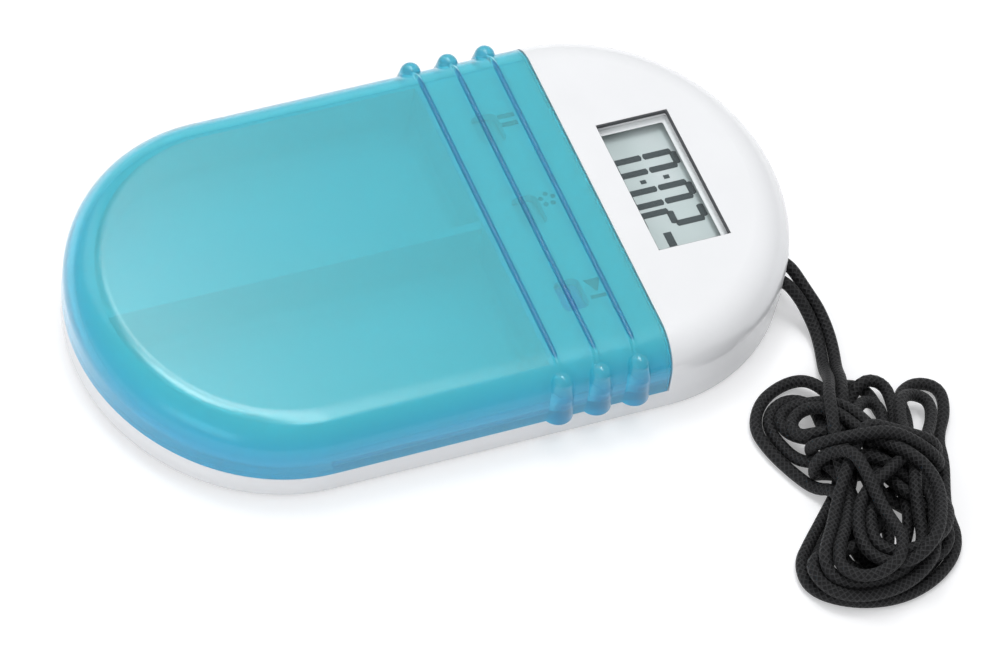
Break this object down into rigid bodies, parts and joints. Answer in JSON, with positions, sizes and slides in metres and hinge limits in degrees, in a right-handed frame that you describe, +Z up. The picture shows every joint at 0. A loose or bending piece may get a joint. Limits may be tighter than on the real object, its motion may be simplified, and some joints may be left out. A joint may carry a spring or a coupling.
{
  "type": "pill box timer",
  "caption": "Flat pocket pill box with a sliding translucent lid over two compartments, a timer display at one end and a neck cord.",
  "frame": {"origin": "on the table under the middle of the body's outline", "axes": "+Y along the body towards the display end, +Z up, +X to the right when the display is read"},
  "size_m": [0.0953, 0.1072, 0.0123],
  "materials": {
    "white_shell": "moulded ABS, satin gloss",
    "frosted_blue": "frosted translucent polypropylene",
    "clear_window": "clear acrylic",
    "black_foam": "closed-cell foam",
    "display_film": "grey-green polarizer film",
    "display_glass": "liquid crystal cell",
    "grey_rubber": "silicone rubber",
    "key_plastic": "moulded key caps",
    "key_blue": "moulded key cap",
    "board_green": "glass-epoxy board with solder mask",
    "black_resin": "epoxy drop",
    "tinned_metal": "tin plated",
    "ceramic_parts": "fired ceramic",
    "buzzer_brass": "rolled brass sheet",
    "cell_steel": "nickel-plated can",
    "white_cap": "moulded ABS",
    "screw_steel": "zinc plated",
    "black_cord": "braided polyester cord"
  },
  "bodies": {
    "body": {"base_shell": "white_shell", "upper_housing": "white_shell", "display_lens": "clear_window", "display_gasket": "black_foam", "front_polarizer": "display_film", "lcd_glass": "display_glass", "rear_reflector": "display_film", "contact_strips": "grey_rubber", "display_holder": "white_shell", "key_mat": "grey_rubber", "circuit_board": "board_green", "controller_chip": "black_resin", "crystal_can": "tinned_metal", "chip_passives": "ceramic_parts", "piezo_plate": "buzzer_brass", "piezo_ceramic": "ceramic_parts", "buzzer_springs": "tinned_metal", "coin_cell": "cell_steel", "battery_contact_positive": "tinned_metal", "battery_contact_negative": "tinned_metal", "housing_screws": "screw_steel", "board_screws": "screw_steel", "cord_pin": "screw_steel", "cord_strand": "black_cord", "cord_hank": "black_cord"},
    "lid": {"sliding_lid": "frosted_blue"},
    "hour_key": {"hour_button": "key_plastic"},
    "minute_key": {"minute_button": "key_plastic"},
    "start_key": {"start_button": "key_blue"},
    "cap": {"battery_cap": "white_cap"}
  },
  "joints": [
    {"name": "lid_slide", "type": "slide", "parent": "body", "child": "lid", "axis": [0, -1, 0], "range_m": [0, 0.04]},
    {"name": "hour_press", "type": "slide", "parent": "body", "child": "hour_key", "axis": [0, 0, -1], "range_m": [0, 0.0006], "stiffness_N_per_m": 800},
    {"name": "minute_press", "type": "slide", "parent": "body", "child": "minute_key", "axis": [0, 0, -1], "range_m": [0, 0.0006], "stiffness_N_per_m": 800},
    {"name": "start_press", "type": "slide", "parent": "body", "child": "start_key", "axis": [0, 0, -1], "range_m": [0, 0.0006], "stiffness_N_per_m": 800},
    {"name": "battery_cap_turn", "type": "hinge", "parent": "body", "child": "cap", "pos_m": [0.0055, 0.0275, 0], "axis": [0, 0, 1], "range_deg": [0, 45]}
  ]
}
